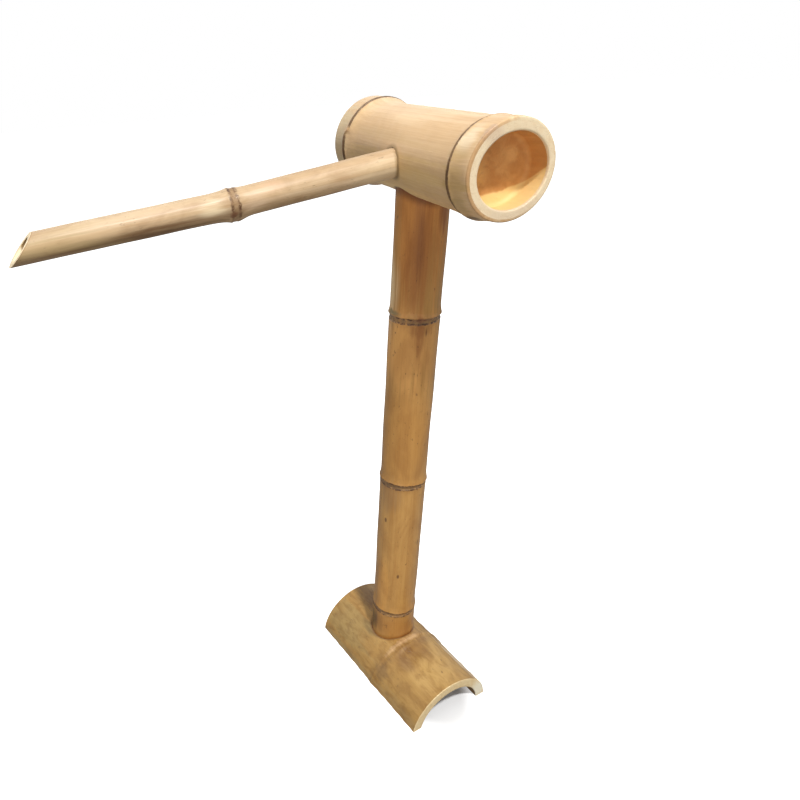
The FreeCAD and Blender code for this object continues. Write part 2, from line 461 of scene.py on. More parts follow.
def shader_group(name, inputs, outputs):
    """Make a function that sketches nodes return its node group. Inputs have defaults, or None for a vector."""
    def wrap(build):
        def group():
            if name in bpy.data.node_groups:
                return bpy.data.node_groups[name]
            tree = bpy.data.node_groups.new(name, "ShaderNodeTree")
            for label, default in inputs.items():
                kind = "NodeSocketVector" if default is None else "NodeSocketFloat"
                socket = tree.interface.new_socket(label, in_out="INPUT", socket_type=kind)
                if default is not None:
                    socket.default_value = default
            for label in outputs:
                tree.interface.new_socket(label, in_out="OUTPUT", socket_type="NodeSocketFloat")
            sketch = Sketch(tree)
            entry = sketch.node("NodeGroupInput")
            leave = sketch.node("NodeGroupOutput")
            for label, value in zip(outputs, build(sketch, entry.outputs)):
                sketch.put(leave.inputs[label], value)
            return tree

        return group

    return wrap


@shader_group(
    "Culm grain", {"Place": None, "Streaks per metre": 180.0, "Fibres per metre": 1500.0}, ("Streak", "Fibre"))
def culm_grain(sketch, given):
    """Broad streaks and fine fibres that run along a culm."""
    place = given["Place"]
    broad = sketch.noise(sketch.stretched(place, 1, 1, 0.035), given["Streaks per metre"], 3.0, 0.6, 0.4)
    fine = sketch.noise(sketch.stretched(place, 1, 1, 0.012), given["Fibres per metre"], 2.0, 0.6)
    return sketch.remap(broad, 0.32, 0.68), sketch.remap(fine, 0.3, 0.7)


@shader_group("Scar stain", {
    "Place": None, "Offset": 1.0, "Distance": 1.0, "Waver": 0.0012, "Lower line": 0.0, "Upper line": 0.0,
    "Line width": 0.0008, "Weakest": 0.4, "Halo width": 0.006, "Fade": 1.0}, ("Line", "Band", "Halo"))
def scar_stain(sketch, given):
    """The broken dark lines along the edges of a node's scar, the rough band between them and a soft stain around."""
    place, width, lower, upper = (given[key] for key in ("Place", "Line width", "Lower line", "Upper line"))
    near = sketch.remap(given["Distance"], 0.03, 0.02)
    strength_here = sketch.times(given["Fade"], near)
    waver = sketch.minus(sketch.noise(place, 420.0, 3.0, 0.7), 0.5)
    moved = sketch.plus(given["Offset"], sketch.times(waver, given["Waver"]))
    lines = []
    for edge, shift in ((lower, 0.0), (upper, 0.37)):
        away = sketch.math("ABSOLUTE", sketch.minus(moved, edge))
        line = sketch.remap(away, width, sketch.times(width, 0.2))
        spots = sketch.noise(sketch.vector("ADD", place, (shift, shift, 0)), 210.0, 3.0, 0.75)
        strength = sketch.remap(spots, 0.38, 0.62, given["Weakest"], 1.0)
        lines.append(sketch.times(line, sketch.times(strength, strength_here)))
    above = sketch.remap(moved, sketch.minus(lower, width), lower)
    below = sketch.remap(moved, sketch.plus(upper, width), upper)
    band = sketch.times(above, below, sketch.remap(waver, -0.2, 0.2, 0.35, 1.0), strength_here)
    halo = sketch.times(near, sketch.remap(sketch.math("ABSOLUTE", moved), given["Halo width"], 0.0))
    halo = sketch.times(halo, sketch.remap(sketch.noise(place, 300.0, 3.0, 0.6), 0.35, 0.65, 0.25, 1.0))
    return sketch.math("MAXIMUM", *lines), band, halo


@shader_group("Blotches", {"Place": None, "Blotches per metre": 45.0, "Low": 0.38, "High": 0.7}, ("Blotch",))
def blotches(sketch, given):
    """Soft blotches, drawn out along the culm."""
    wide = sketch.noise(sketch.stretched(given["Place"], 1, 1, 0.45), given["Blotches per metre"], 4.0, 0.6, 0.6)
    return (sketch.remap(wide, given["Low"], given["High"]),)


@shader_group("Flecks", {"Place": None, "Flecks per metre": 700.0}, ("Fleck",))
def flecks(sketch, given):
    """Fine dark flecks in the skin, longer along the culm, in loose clouds."""
    fine = sketch.noise(sketch.stretched(given["Place"], 1, 1, 0.35), given["Flecks per metre"], 2.0, 0.5)
    cloud = sketch.noise(given["Place"], 60.0, 2.0, 0.5)
    return (sketch.times(sketch.remap(fine, 0.64, 0.74), sketch.remap(cloud, 0.42, 0.6)),)


@shader_group("End fibres", {"Place": None, "Bundles per metre": 1300.0}, ("Dots", "Waves"))
def end_fibres(sketch, given):
    """Dots of the fibre bundles in a cut face, and slow waves of tone."""
    dots = sketch.cells(sketch.stretched(given["Place"], 1, 1, 0.1), given["Bundles per metre"])
    return sketch.remap(dots, 0.42, 0.15), sketch.noise(given["Place"], 260.0, 3.0, 0.6)


def lacquered(name, coat, coat_roughness):
    """New material with a coated Principled shader. Returns the material, its sketch and the shader."""
    material = bpy.data.materials.new(name)
    material.use_nodes = True
    material.node_tree.nodes.clear()
    sketch = Sketch(material.node_tree)
    shader = sketch.node("ShaderNodeBsdfPrincipled")
    output = sketch.node("ShaderNodeOutputMaterial")
    sketch.put(output.inputs["Surface"], shader.outputs["BSDF"])
    for socket, value in (("Specular IOR Level", 0.3), ("Coat Weight", coat), ("Coat Roughness", coat_roughness),
                          ("Coat IOR", 1.4)):
        shader.inputs[socket].default_value = value
    return material, sketch, shader


def finish_shader(sketch, shader, colour, roughness, height, bump_distance):
    """Join the colour and the roughness to the shader, and the height as a bump."""
    bump = sketch.node("ShaderNodeBump")
    bump.inputs["Strength"].default_value = 1.0
    bump.inputs["Distance"].default_value = bump_distance
    sketch.put(bump.inputs["Height"], height)
    for socket, value in (("Base Color", colour), ("Roughness", roughness), ("Normal", bump.outputs["Normal"])):
        sketch.put(shader.inputs[socket], value)


def on_round(sketch, place, radius):
    """The place moved straight out or in to the given radius."""
    outward = sketch.vector("NORMALIZE", sketch.stretched(place, 1, 1, 0))
    return sketch.vector("ADD", sketch.stretched(outward, radius, radius, radius), sketch.stretched(place, 0, 0, 1))


def uneven(sketch, value, amount):
    """How far the value strays from its middle, times the amount."""
    return sketch.times(sketch.minus(value, 0.5), amount)


def patch_mask(sketch, place, patch, radius, rough):
    """Mask of a soft patch on a culm of the given radius, with its outline broken by the grain."""
    centre = (radius * math.cos(patch.angle), radius * math.sin(patch.angle), patch.place)
    away = sketch.vector("SUBTRACT", place, centre)
    size = sketch.vector("DIVIDE", away, (patch.half_width, patch.half_width, patch.half_length))
    reach = sketch.plus(sketch.vector("LENGTH", size, output="Value"), rough)
    return sketch.remap(reach, 1.0, 0.3, 0.0, patch.strength)


def painted(sketch, colour, place, patches, radius, grain, amount):
    """The colour with the patches laid over it in turn, their outlines broken by the grain."""
    rough = uneven(sketch, grain, amount) if patches else None
    for patch in patches:
        colour = sketch.blend(patch_mask(sketch, place, patch, radius, rough), colour, patch.colour)
    return colour


def contact_shade_mask(sketch, place, contact_shade):
    """Mask of the painted shade where another culm meets the skin, from the distance to its surface."""
    surface = sketch.node("ShaderNodeTexCoord").outputs["Object"]
    away = sketch.vector("SUBTRACT", surface, tuple(contact_shade.point))
    crossed = sketch.vector("CROSS_PRODUCT", away, tuple(contact_shade.direction.normalized()))
    distance = sketch.minus(sketch.vector("LENGTH", crossed, output="Value"), contact_shade.radius)
    mask = sketch.remap(distance, contact_shade.reach, 0.0, 0.0, contact_shade.strength)
    if contact_shade.toward:
        side = sketch.vector("DOT_PRODUCT", place, contact_shade.toward, output="Value")
        mask = sketch.times(mask, sketch.remap(side, 0.0, 4 * MM))
    return mask


def skin_material(
        name, settings, stain, scar, band, radius, patches, lines, contact_shades, *, weakest, streaks, blotch, fleck, halo,
        halo_width, coat, coat_roughness=0.25, roughness=0.45, waver=1.2 * MM, darkest_side=0.0, darkest_end=0.0,
        faintest=1.0, mottles=45.0, edge_least=1.0, gaps=(), marks=()):
    """Skin of one culm under lacquer."""
    material, sketch, shader = lacquered(name, coat, coat_roughness)
    place = sketch.attribute("culm", "Vector")
    grain = sketch.group(culm_grain(), place=place)
    specks = sketch.times(sketch.group(flecks(), place=place)["Fleck"], fleck)
    sideways = (math.cos(darkest_side) / radius, math.sin(darkest_side) / radius, darkest_end)
    side = sketch.vector("DOT_PRODUCT", place, sideways, output="Value")
    fade = sketch.remap(side, -0.5, 0.8, faintest, 1.0)
    round_place = on_round(sketch, place, radius)
    for gap in gaps:
        fade = sketch.times(fade, sketch.minus(1.0, patch_mask(sketch, round_place, gap, radius, 0.0)))
    lower, upper, width = lines
    scars = sketch.group(
        scar_stain(), place=place, offset=sketch.attribute("scar_offset"), distance=sketch.attribute("scar_distance"),
        lower_line=lower, upper_line=upper, line_width=width, weakest=weakest, waver=waver, halo_width=halo_width,
        fade=fade)
    colour = sketch.blend(sketch.times(grain["Streak"], streaks), tuple(settings.skin), tuple(settings.deep))
    colour = painted(sketch, colour, round_place, patches, radius, grain["Streak"], 0.5)
    blotted = sketch.group(blotches(), place=place, blotches_per_metre=mottles)["Blotch"]
    colour = sketch.blend(sketch.times(blotted, blotch), colour, stain, "MULTIPLY")
    colour = sketch.blend(sketch.times(grain["Fibre"], 0.14), colour, stain, "MULTIPLY")
    # Painted shade where other culms meet this one.
    for contact_shade in contact_shades:
        colour = sketch.blend(contact_shade_mask(sketch, place, contact_shade), colour, contact_shade.colour)
    colour = sketch.blend(sketch.times(scars["Halo"], halo), colour, stain, "MULTIPLY")
    for mask, tone in ((scars["Band"], band), (scars["Line"], scar), (specks, scar)):
        colour = sketch.blend(mask, colour, tone)
    colour = painted(sketch, colour, round_place, marks, radius, grain["Streak"], 0.5)
    sawn = sketch.remap(sketch.attribute("end_offset"), 1.5 * MM, 0.6 * MM, 0.0, 0.6)
    sawn = sketch.times(sawn, sketch.remap(side, 0.1, 0.9, edge_least, 1.0))
    colour = sketch.blend(sawn, colour, stain, "MULTIPLY")
    wear_and_painted_light = sketch.remap(grain["Fibre"], 0.0, 1.0, roughness - 0.06, roughness + 0.08)
    wear_and_painted_light = sketch.math("MAXIMUM", wear_and_painted_light, sketch.times(scars["Band"], 0.8))
    height = sketch.plus(sketch.times(grain["Fibre"], 0.25), grain["Streak"])
    height = sketch.minus(height, sketch.times(specks, 1.5))
    height = sketch.minus(height, sketch.times(scars["Line"], 2.0))
    finish_shader(sketch, shader, colour, wear_and_painted_light, height, 0.1 * MM)
    return material


def cut_material(name, cream, shade, fibre, radius=0.0, patches=()):
    """Sawn end of a culm: pale wall with the dots of its fibre bundles."""
    material, sketch, shader = lacquered(name, 0.2, 0.35)
    place = sketch.attribute("culm", "Vector")
    fibres = sketch.group(end_fibres(), place=place)
    colour = sketch.blend(sketch.remap(fibres["Waves"], 0.35, 0.7), cream, shade)
    colour = painted(sketch, colour, place, patches, radius, fibres["Waves"], 0.8)
    colour = sketch.blend(sketch.times(fibres["Dots"], 0.25), colour, fibre)
    roughness = sketch.remap(fibres["Waves"], 0.3, 0.7, 0.5, 0.65)
    finish_shader(sketch, shader, colour, roughness, sketch.times(fibres["Dots"], -1.0), 0.08 * MM)
    return material


def inside_material(name, pale, deep, radius=0.0, patches=(), wear_and_painted_light=None):
    """Inner wall of a culm: papery pith streaked along it, under the same lacquer, with painted light on one side."""
    material, sketch, shader = lacquered(name, 0.12, 0.3)
    place = sketch.attribute("culm", "Vector")
    grain = sketch.group(culm_grain(), place=place, streaks_per_metre=140.0)
    blotted = sketch.group(blotches(), place=place, blotches_per_metre=70.0)["Blotch"]
    colour = sketch.blend(grain["Streak"], pale, deep)
    colour = sketch.blend(sketch.times(blotted, 0.4), colour, deep)
    colour = painted(sketch, colour, place, patches, radius, blotted, 0.5)
    # Painted light: paler past a plane across the bore, a pool of light on the wall.
    if wear_and_painted_light:
        toward, edge, painted_light_colour = wear_and_painted_light
        reach = sketch.vector("DOT_PRODUCT", place, toward, output="Value")
        wavy = sketch.plus(reach, uneven(sketch, blotted, 1.0 * MM))
        colour = sketch.blend(sketch.remap(wavy, edge + 0.8 * MM, edge - 0.8 * MM), colour, painted_light_colour)
    roughness = sketch.remap(grain["Fibre"], 0.0, 1.0, 0.5, 0.62)
    finish_shader(sketch, shader, colour, roughness, grain["Streak"], 0.2 * MM)
    return material


def length(name, description, millimetres):
    return bpy.props.FloatProperty(
        name=name, description=description, default=millimetres * MM, min=0.0, unit="LENGTH", subtype="DISTANCE")


def angle_of(name, description, degrees):
    return bpy.props.FloatProperty(
        name=name, description=description, default=math.radians(degrees), unit="ROTATION", subtype="ANGLE")


def colour_of(name, description, default):
    return bpy.props.FloatVectorProperty(
        name=name, description=description, default=default, size=3, min=0.0, max=1.0, subtype="COLOR")


class HeadSettings(bpy.types.PropertyGroup):
    near_node: length("Near node", "From the near end to its node's scar", 19.0)
    far_node: length("Far node", "From the far end to its node's scar", 18.0)
    rim_radius: length("Rim radius", "Outer radius at the near rim", 27.2)
    near_radius: length("Near radius", "Outer radius of the near cup at its node", 27.8)
    middle_radius: length("Middle radius", "Outer radius between the nodes", 27.3)
    far_radius: length("Far radius", "Outer radius of the far cup", 30.1)
    far_flare: length("Far flare", "Length over which the culm widens towards the far cup", 20.0)
    cup_radius: length("Cup radius", "Inner radius of the near cup", 21.1)
    far_cup_radius: length("Far cup radius", "Inner radius of the far cup", 22.6)
    skin: colour_of("Skin", "Pale colour of the skin", (0.80, 0.55, 0.30))
    deep: colour_of("Deep skin", "Darker streaks of the skin", (0.70, 0.46, 0.24))


class PostSettings(bpy.types.PropertyGroup):
    low_node: length("Low node", "Height of the lowest node", 68.2)
    middle_node: length("Middle node", "Height of the middle node", 213.3)
    high_node: length("High node", "Height of the highest node", 359.6)
    low_radius: length("Low radius", "Outer radius at the bottom", 19.8)
    high_radius: length("High radius", "Outer radius under the head", 18.5)
    bore_radius: length("Bore radius", "Inner radius", 14.2)
    skin: colour_of("Skin", "Pale colour of the skin", (0.61, 0.335, 0.10))
    deep: colour_of("Deep skin", "Darker streaks of the skin", (0.49, 0.245, 0.065))


class SpoutSettings(bpy.types.PropertyGroup):
    toward_near_cup: length("Toward near cup", "How far its line lies from the post's axis towards the near cup", 4.1)
    root_drop: angle_of("Root drop", "How steeply the half next to the head drops", 7.4)
    tip_drop: angle_of("Tip drop", "How steeply the half with the tip drops", 5.2)
    root_start: length("Root start", "From the head's axis to the root end inside the head", 20.2)
    node: length("Node", "From the head's axis to the node's scar", 135.5)
    lower_lip: length("Lower lip", "From the head's axis to the tip's lower lip", 275.1)
    upper_edge: length("Upper edge", "From the head's axis to the upper edge of the slant cut", 256.5)
    root_radius: length("Root radius", "Outer radius next to the head", 9.2)
    tip_radius: length("Tip radius", "Outer radius at the tip", 8.9)
    bore_radius: length("Bore radius", "Inner radius", 6.0)
    skin: colour_of("Skin", "Pale colour of the skin", (0.69, 0.52, 0.33))
    deep: colour_of("Deep skin", "Darker streaks of the skin", (0.54, 0.35, 0.17))


class FootSettings(bpy.types.PropertyGroup):
    radius: length("Radius", "Outer radius of the culm that the foot is split from", 42.4)
    wall: length("Wall", "Thickness of its wall", 9.7)
    height: length("Height", "Height of the arch", 37.6)
    near_reach: length("Near reach", "From the post's axis to the near end", 85.1)
    far_reach: length("Far reach", "From the post's axis to the far end", 57.3)
    node: length("Node", "From the post's axis to the node's scar", 26.0)
    turn: angle_of("Turn", "How far the foot is turned about the post from the head's direction", 12.0)
    skin: colour_of("Skin", "Pale colour of the skin", (0.51, 0.30, 0.093))
    deep: colour_of("Deep skin", "Darker streaks of the skin", (0.40, 0.225, 0.064))


class TubeSettings(bpy.types.PropertyGroup):
    radius: length("Radius", "Outer radius", 3.0)
    bottom: length("Bottom", "Height of its lower end above the floor", 12.0)
    mouth: length("Mouth", "From the head's axis to its end inside the spout", 240.0)
    tint: colour_of("Tint", "Colour of the clear tube", (0.86, 0.90, 0.86))


class StageSettings(bpy.types.PropertyGroup):
    focal_pixels: bpy.props.FloatProperty(
        name="Focal length", description="Focal length in pixels of the 800 pixel wide frame", default=656.1)
    centre_x: bpy.props.FloatProperty(
        name="Centre across", description="Pixel column that the lens points at", default=255.09)
    centre_y: bpy.props.FloatProperty(
        name="Centre down", description="Pixel row that the lens points at", default=427.33)
    place: bpy.props.FloatVectorProperty(
        name="Camera place", description="Where the camera stands", default=(-0.23387, -0.41392, 0.53647),
        size=3, unit="LENGTH", subtype="TRANSLATION")
    yaw: angle_of("Yaw", "Camera's turn from +Y towards +X", 14.43)
    pitch: angle_of("Pitch", "Camera's tilt, down is negative", -30.2)
    roll: angle_of("Roll", "Camera's roll", -3.59)
    floor: colour_of("Floor", "Colour of the floor", (0.95, 0.95, 0.95))
    bounce: colour_of("Bounce", "Colour of the floor as it lights the culms", (0.34, 0.33, 0.31))


def spout_start(spout):
    """Where the spout's line meets the upright plane through the head's axis."""
    return Vector((0, -spout.toward_near_cup, HEAD_CENTRE.z))


def dropping(angle):
    """Direction towards -X that drops by the angle."""
    return Vector((-math.cos(angle), 0, -math.sin(angle)))


def tube_way(scene):
    """The water tube's lower end, the corner that its two straight runs meet in, and its end inside the spout."""
    tube, spout = scene.bamboo_tube, scene.bamboo_spout
    corner = spout_start(spout)
    node = corner + dropping(spout.root_drop) * spout.node
    return Vector((0, 0, tube.bottom)), corner, node + dropping(spout.tip_drop) * (tube.mouth - spout.node)


def foot_way(foot):
    """Direction of the foot's culm towards its near end."""
    return Vector((math.sin(foot.turn), -math.cos(foot.turn), 0))


class BAMBOO_OT_head(bpy.types.Operator):
    """Make the head, a short fat culm with an open cup at each end"""
    bl_idname = "bamboo.make_head"
    bl_label = "Head"

    def execute(self, context):
        settings = context.scene.bamboo_head
        post = context.scene.bamboo_post
        spout = context.scene.bamboo_spout
        near_end, far_end = HEAD_LOW.y, HEAD_HIGH.y
        near_node = near_end + settings.near_node
        far_node = far_end - settings.far_node
        rim, middle, far = settings.rim_radius, settings.middle_radius, settings.far_radius
        flare = [
            (far_node - settings.far_flare * (1 - share), middle + (far - middle) * share ** 1.7)
            for share in (0.0, 0.2, 0.4, 0.6, 0.8, 1.0)]
        stations = [
            (near_end, rim), (near_end + 5 * MM, rim + 0.35 * MM), (near_node - 0.5 * MM, settings.near_radius),
            (near_node + 0.5 * MM, middle + 0.1 * MM), (near_node + 12 * MM, middle), *flare, (far_end, far)]
        nodes = [
            node_at(near_node, (0.7, 0.5, 2.2, 4, 0.85, 1.0, 0.35, 0.5), 1.0, 2.4, 0.5, -122 * DEGREE),
            node_at(far_node - 0.9 * MM, (0.5, 0.6, 3, 3, 0.7, 0.8, 0.3, -2.6), 2.4, -74 * DEGREE, 0.3, -110 * DEGREE)]
        level = straight_line(HEAD_CENTRE, HEAD_WAY, UP)

        def line(places):
            """The head's line, which rises a little from the near node to the near end."""
            points, up, across = level(places)
            rise = 1.15 * MM * (1 - ease(near_end, near_node, places))
            return points + rise[:, None] * np.array(UP)[None], up, across

        below = swelling_at(near_node + 1 * MM, math.pi, 0.4, 8, 22)
        culm = Culm(line, stations, nodes, [below], oval=0.003, oval_phase=0.9, ripple=0.25 * MM, around=192)
        off_centre = (-0.4 * MM, 1.2 * MM, 0.8 * MM)
        wear_and_painted_light = 2.2 * MM
        near_cup = culm.open_end(
            near_end, near_node - HALF_NODE_WALL, rim, settings.cup_radius, -1, shift=off_centre)
        skin = culm.skin_rings(near_end + EDGE_SOFT, far_end - wear_and_painted_light)
        far_cup = culm.open_end(far_end, far_node + HALF_NODE_WALL, far, settings.far_cup_radius, 1, wear_and_painted_light)
        start, way = spout_start(spout), dropping(spout.root_drop)
        # Painted shade on the head where the post and the spout go into it.
        contact_shades = [
            ContactShade(Vector(), UP, post.high_radius, 1.6 * MM, (0.16, 0.08, 0.03), 0.8, (-1.0, 0.0, 0.0)),
            ContactShade(start, way, spout.root_radius, 3.4 * MM, (0.34, 0.22, 0.10), 0.9, (0.0, -1.0, 0.0))]
        patches = patches_from(
            0,
            (0, -8, 17, 110, (0.88, 0.64, 0.40), 0.7),
            (-10, -112, 20, 100, (0.74, 0.50, 0.20), 0.6),
            # Painted light: paler along the underside.
            (-15, -158, 18, 90, (0.98, 0.69, 0.32), 0.75),
            (20, -62, 5, 60, (0.68, 0.46, 0.22), 0.4),
            (-5, -40, 5, 50, (0.90, 0.66, 0.40), 0.5))
        patches += patches_from(
            near_end,
            (12, -48, 10, 10, (0.98, 0.80, 0.54), 0.8),
            (12, -100, 22, 14, (0.60, 0.39, 0.155), 0.7),
            (12, -132, 12, 12, (0.50, 0.34, 0.15), 0.7),
            (0, 42, 34, 4, (0.88, 0.74, 0.50), 0.9),
            (0, 140, 34, 4, (0.84, 0.70, 0.48), 0.9))
        patches += patches_from(far_end, (-8, -78, 34, 16, (0.66, 0.53, 0.32), 0.7))
        # The second of these is painted shade along the underside of the near cup; the first is a brownish smear at its
        # rim.
        patches += patches_from(
            near_end, (1, -38, 8, 4, (0.55, 0.36, 0.24), 0.6), (13, -154, 7, 11, (0.16, 0.09, 0.035), 0.9))
        gaps = patches_from(far_node, (-1, -71, 4.5, 5, None, 1.0))
        stains = patches_from(
            near_end, (0, -34, 8, 4, (0.62, 0.45, 0.32), 0.5), (0, 170, 22, 6, (0.70, 0.55, 0.38), 0.6))
        glow = patches_from(
            near_node, (0, -105, 11, 8, (0.88, 0.52, 0.19), 0.8), (0, 60, 5, 8, (0.84, 0.48, 0.18), 0.5))
        materials = [
            skin_material(
                "head_skin", settings, (0.55, 0.42, 0.30), (0.13, 0.07, 0.03), (0.15, 0.09, 0.045), middle, patches,
                (-0.6 * MM, 0.6 * MM, 1.1 * MM), contact_shades, weakest=0.7, darkest_side=-125 * DEGREE, darkest_end=-5.0,
                faintest=0.85, streaks=0.6, blotch=0.22, fleck=0.0, halo=0.45, halo_width=3.5 * MM, edge_least=0.0,
                coat=0.25, coat_roughness=0.35, roughness=0.5, gaps=gaps),
            cut_material(
                "head_cut", (0.86, 0.70, 0.47), (0.80, 0.62, 0.39), (0.62, 0.44, 0.24), rim - 3 * MM, stains),
            inside_material(
                "head_inside", (0.68, 0.355, 0.125), (0.56, 0.26, 0.08),
                # Painted light: the near cup's lower wall and node wall paler below a slanted plane, as lit through the
                # mouth.
                radius=14 * MM, patches=glow, wear_and_painted_light=((1.0, -0.17, 0.606), -58.8 * MM, (0.86, 0.61, 0.26)))]
        head = mesh_of("bamboo_head", culm, near_cup + skin + far_cup, materials)
        # Both holes run from the axis to well outside the skin.
        drilled(
            head, materials[CUT], (post.high_radius, HEAD_CENTRE - 40 * MM * UP, HEAD_CENTRE),
            (spout.root_radius, start, start + way * 45 * MM))
        take_place_of(head, "head")
        return {"FINISHED"}


class BAMBOO_OT_post(bpy.types.Operator):
    """Make the post, an upright culm with three nodes"""
    bl_idname = "bamboo.make_post"
    bl_label = "Post"

    def execute(self, context):
        settings = context.scene.bamboo_post
        bottom, top = POST_LOW.z, POST_HIGH.z
        low, high = settings.low_radius, settings.high_radius
        low_node, middle_node, high_node = settings.low_node, settings.middle_node, settings.high_node
        upper, lower = high + 0.3 * MM, high + 0.7 * MM
        stations = [
            (bottom, low), (low_node, low), (low_node + 7 * MM, lower + 0.1 * MM), (middle_node, lower),
            (middle_node + 7 * MM, upper + 0.1 * MM), (high_node, upper), (high_node + 7 * MM, high), (top, high)]
        nodes = [
            node_at(low_node - 1.0 * MM, (0.25, 0.55, 4, 3, 1.4, 0.7, 0.5, 0.4), 0.6, 3.0, 0.3, -150 * DEGREE),
            node_at(middle_node - 1.0 * MM, (0.2, 0.8, 4, 3.2, 1.4, 0.8, 0.5, 0.7), 3.9, 5.4, 0.4, -150 * DEGREE),
            node_at(high_node - 1.6 * MM, (0.2, 0.85, 4, 2.6, 2.2, 0.8, 0.6, 0.6), 5.2, 0.4, 0.2, -150 * DEGREE)]
        axis = straight_line(Vector(), UP, Vector((1, 0, 0)))
        culm = Culm(axis, stations, nodes, oval=0.004, oval_phase=0.5, ripple=0.3 * MM)
        bottom_end = culm.open_end(bottom, low_node - HALF_NODE_WALL, low, settings.bore_radius, -1)
        skin = culm.skin_rings(bottom + EDGE_SOFT, top - EDGE_SOFT)
        top_end = culm.open_end(top, high_node + HALF_NODE_WALL, high, settings.bore_radius, 1)
        # Darker over the top of the post, under the head.
        patches = patches_from(top, (0, -120, 60, 112, (0.60, 0.245, 0.058), 0.9))
        patches += patches_from(
            0,
            # Painted sheen: a pale band down the post's left edge about the high node.
            (374, 174, 10, 46, (0.95, 0.68, 0.36), 0.95),
            (335, -120, 60, 40, (0.86, 0.435, 0.13), 0.7),
            (255, -120, 60, 50, (0.51, 0.245, 0.058), 0.6),
            (100, -120, 60, 60, (0.54, 0.28, 0.075), 0.3),
            (405, -112, 13, 60, (0.36, 0.135, 0.032), 0.7),
            (412, -116, 3.2, 32, (0.25, 0.085, 0.02), 0.6),
            # Painted shade on the post just under the head.
            (436, -66, 8, 20, (0.26, 0.085, 0.025), 0.7),
            (352, -103, 11, 8, (0.40, 0.165, 0.045), 0.7),
            (345, -103, 5.5, 17, (0.42, 0.17, 0.045), 0.7),
            (350, -90, 1.4, 6, (0.14, 0.055, 0.02), 0.7),
            (202, -148, 12, 22, (0.38, 0.21, 0.085), 0.6),
            (95, -156, 9, 40, (0.78, 0.40, 0.10), 0.6),
            (50, -110, 45, 18, (0.46, 0.21, 0.05), 0.7),
            # Painted shade: the post's left side made dark just above the foot.
            (50, 168, 14, 21, (0.07, 0.035, 0.014), 0.95),
            (175, -158, 1.4, 2.6, (0.14, 0.065, 0.022), 0.8),
            (115, -114, 1.4, 2.6, (0.14, 0.065, 0.022), 0.8),
            (150, -60, 1.4, 3.2, (0.14, 0.065, 0.022), 0.6))
        marks = patches_from(
            high_node, (0, -100, 9, 2.6, (0.20, 0.06, 0.02), 0.5), (3, -176, 9, 3, (0.20, 0.155, 0.06), 0.8))
        foot, head = context.scene.bamboo_foot, context.scene.bamboo_head
        foot_axis = Vector((0, 0, foot.height - foot.radius))
        # Painted shade on the post where it meets the foot and under the head.
        contact_shades = [
            ContactShade(foot_axis, foot_way(foot), foot.radius, 5 * MM, (0.32, 0.12, 0.02), 0.8),
            ContactShade(HEAD_CENTRE, HEAD_WAY, head.middle_radius, 6 * MM, (0.17, 0.055, 0.014), 0.85)]
        materials = [
            skin_material(
                "post_skin", settings, (0.50, 0.36, 0.26), (0.075, 0.032, 0.012), (0.22, 0.135, 0.07), low, patches,
                (-1.6 * MM, 1.5 * MM, 0.9 * MM), contact_shades, weakest=0.0, waver=2.2 * MM, streaks=0.85, blotch=0.4,
                fleck=0.55, halo=0.35, halo_width=7 * MM, coat=0.55, marks=marks),
            cut_material("post_cut", (0.74, 0.52, 0.28), (0.62, 0.40, 0.19), (0.36, 0.20, 0.08)),
            inside_material("post_inside", (0.50, 0.30, 0.13), (0.36, 0.19, 0.07))]
        post = mesh_of("bamboo_post", culm, bottom_end + skin + top_end, materials)
        inlet, corner, _ = tube_way(context.scene)
        tube_radius = context.scene.bamboo_tube.radius
        drilled(post, materials[INSIDE], (tube_radius, inlet, inlet.lerp(corner, POST_DRILLED)))
        take_place_of(post, "post")
        return {"FINISHED"}


